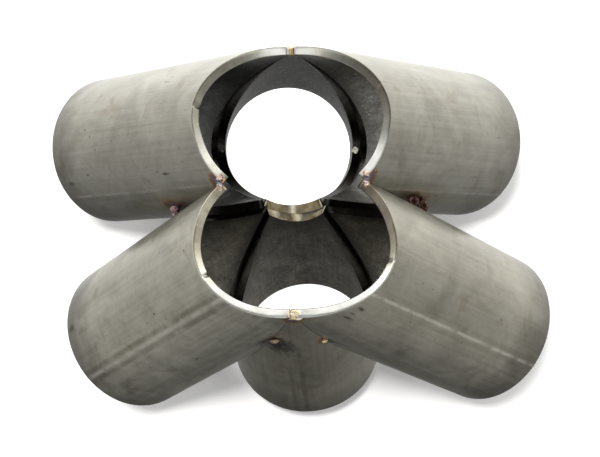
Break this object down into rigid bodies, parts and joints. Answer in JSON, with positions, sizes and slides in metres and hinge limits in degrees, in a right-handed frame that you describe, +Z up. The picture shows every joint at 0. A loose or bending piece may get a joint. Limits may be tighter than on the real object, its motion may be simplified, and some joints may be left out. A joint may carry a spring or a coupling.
{
  "type": "exhaust manifold",
  "caption": "Bare pipe merge collector of a turbo exhaust manifold: two banks of mitred stubs tacked together under a figure-of-eight mouth.",
  "frame": {"origin": "the surface the part stands on, under the middle of its outline", "axes": "+Z up and out of the mouth, +X to the right along the longest extent, +Y towards the rear bank"},
  "size_m": [0.1598, 0.1148, 0.0893],
  "materials": {
    "pipe": "mill finish",
    "weld": "heat tinted weld metal"
  },
  "bodies": {
    "root": {"rear_left_pipe": "pipe", "rear_centre_pipe": "pipe", "rear_right_pipe": "pipe", "front_left_pipe": "pipe", "front_centre_pipe": "pipe", "front_right_pipe": "pipe", "tack_mouth_rear": "weld", "tack_mouth_front": "weld", "tack_mouth_left": "weld", "tack_mouth_right": "weld", "tack_flank_left": "weld", "tack_flank_right_high": "weld", "tack_flank_right_low": "weld", "tack_front_left": "weld", "tack_front_right": "weld", "tack_rear_left": "weld", "tack_rear_right": "weld", "tack_bore_left": "weld", "tack_bore_right": "weld", "tack_middle": "weld"}
  },
  "joints": []
}
